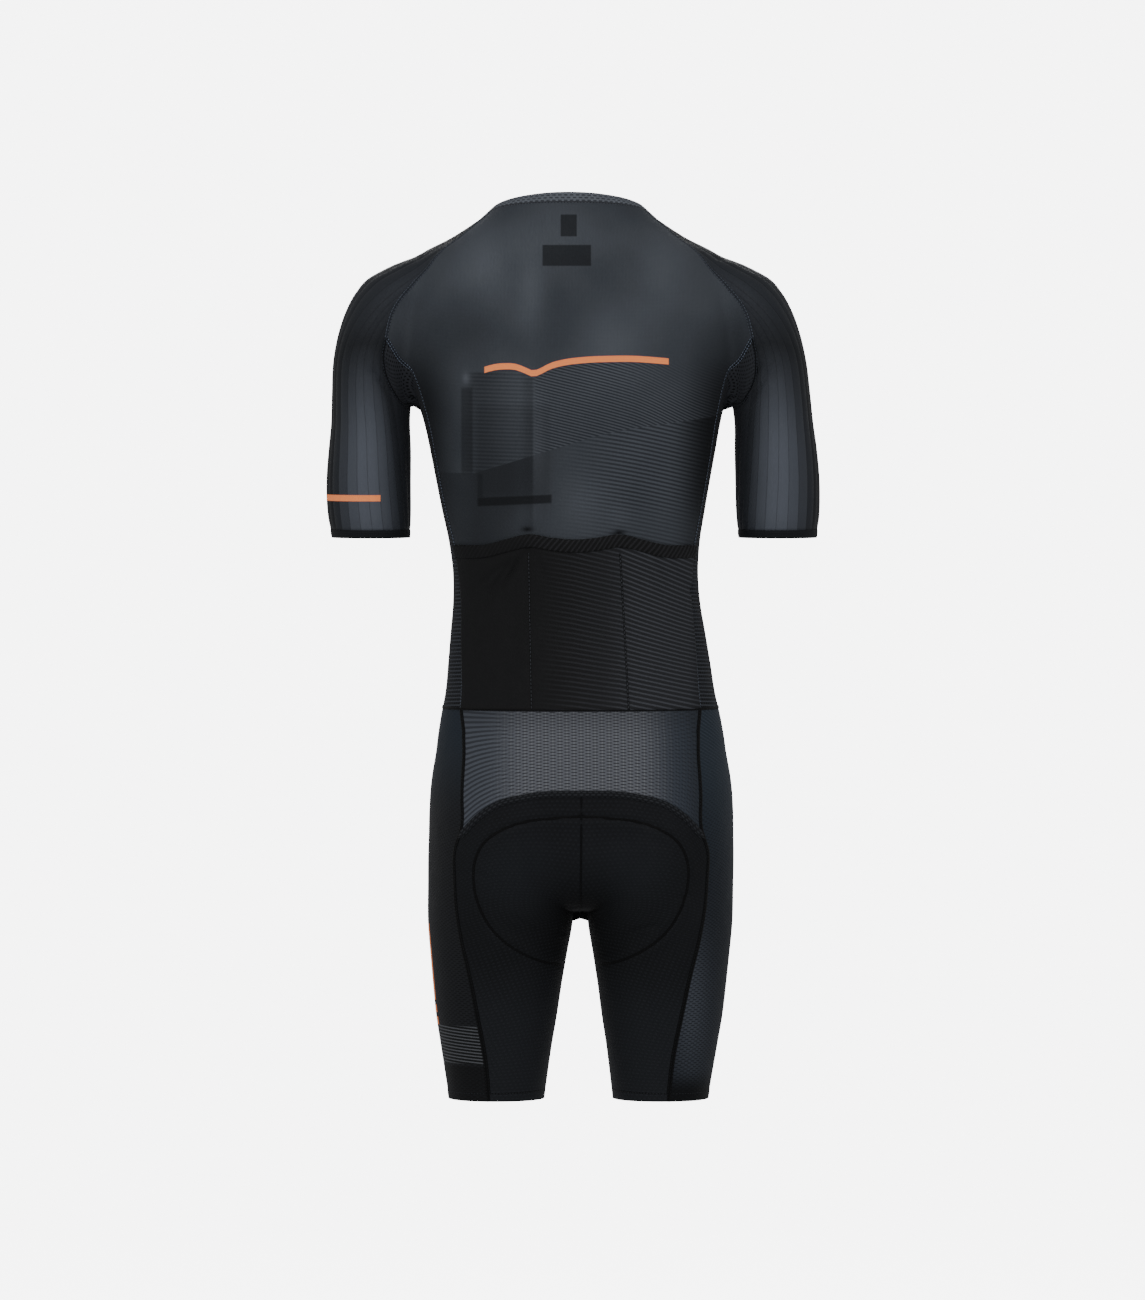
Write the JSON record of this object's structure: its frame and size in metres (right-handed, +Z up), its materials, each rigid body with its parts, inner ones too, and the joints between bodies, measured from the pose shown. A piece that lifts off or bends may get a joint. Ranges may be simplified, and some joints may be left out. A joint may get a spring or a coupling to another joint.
{
  "type": "skinsuit",
  "caption": "Short-sleeved one-piece suit in its worn shape, with a front zip, back pockets, a seat pad and open neck, cuffs and leg ends.",
  "frame": {"origin": "on the middle line between the shoulders, where the wearer carries the suit", "axes": "+Z up, +Y out of the back, the front faces -Y, and +X towards the wearer's left"},
  "size_m": [0.5228, 0.2375, 0.9598],
  "materials": {
    "sheer_cloth": "sheer fine mesh",
    "sleeve_cloth": "ribbed knit with a soft sheen",
    "pocket_cloth": "matt perforated mesh",
    "trim_cloth": "matt tape",
    "yoke_cloth": "dash-woven mesh",
    "seat_cloth": "smooth matt knit",
    "outer_leg_cloth": "dimpled mesh",
    "pad_foam": "brushed face over foam",
    "zip_metal": "dark satin lacquer"
  },
  "bodies": {
    "garment": {"back_panel": "sheer_cloth", "front_left": "sheer_cloth", "front_right": "sheer_cloth", "sleeve_left": "sleeve_cloth", "sleeve_right": "sleeve_cloth", "side_panel_left": "pocket_cloth", "side_panel_right": "pocket_cloth", "pocket_panel": "pocket_cloth", "inner_pocket": "pocket_cloth", "cuff_band_left": "trim_cloth", "cuff_band_right": "trim_cloth", "pocket_binding": "trim_cloth", "neck_label_small": "trim_cloth", "neck_label_large": "trim_cloth", "seat_tape": "trim_cloth", "zip_tape_left": "trim_cloth", "zip_tape_right": "trim_cloth", "zip_coil": "trim_cloth", "neckband": "yoke_cloth", "yoke_back": "yoke_cloth", "seat_left": "seat_cloth", "seat_right": "seat_cloth", "front_leg_left": "seat_cloth", "front_leg_right": "seat_cloth", "side_leg_left": "outer_leg_cloth", "side_leg_right": "outer_leg_cloth", "seat_pad": "pad_foam", "zip_slider": "zip_metal"},
    "zip_pull": {"zip_pull": "zip_metal"}
  },
  "joints": [
    {"name": "zip_pull_hinge", "type": "hinge", "parent": "garment", "child": "zip_pull", "pos_m": [0.00396, -0.07084, -0.00656], "axis": [-1, 0, 0], "range_deg": [0, 150]}
  ]
}
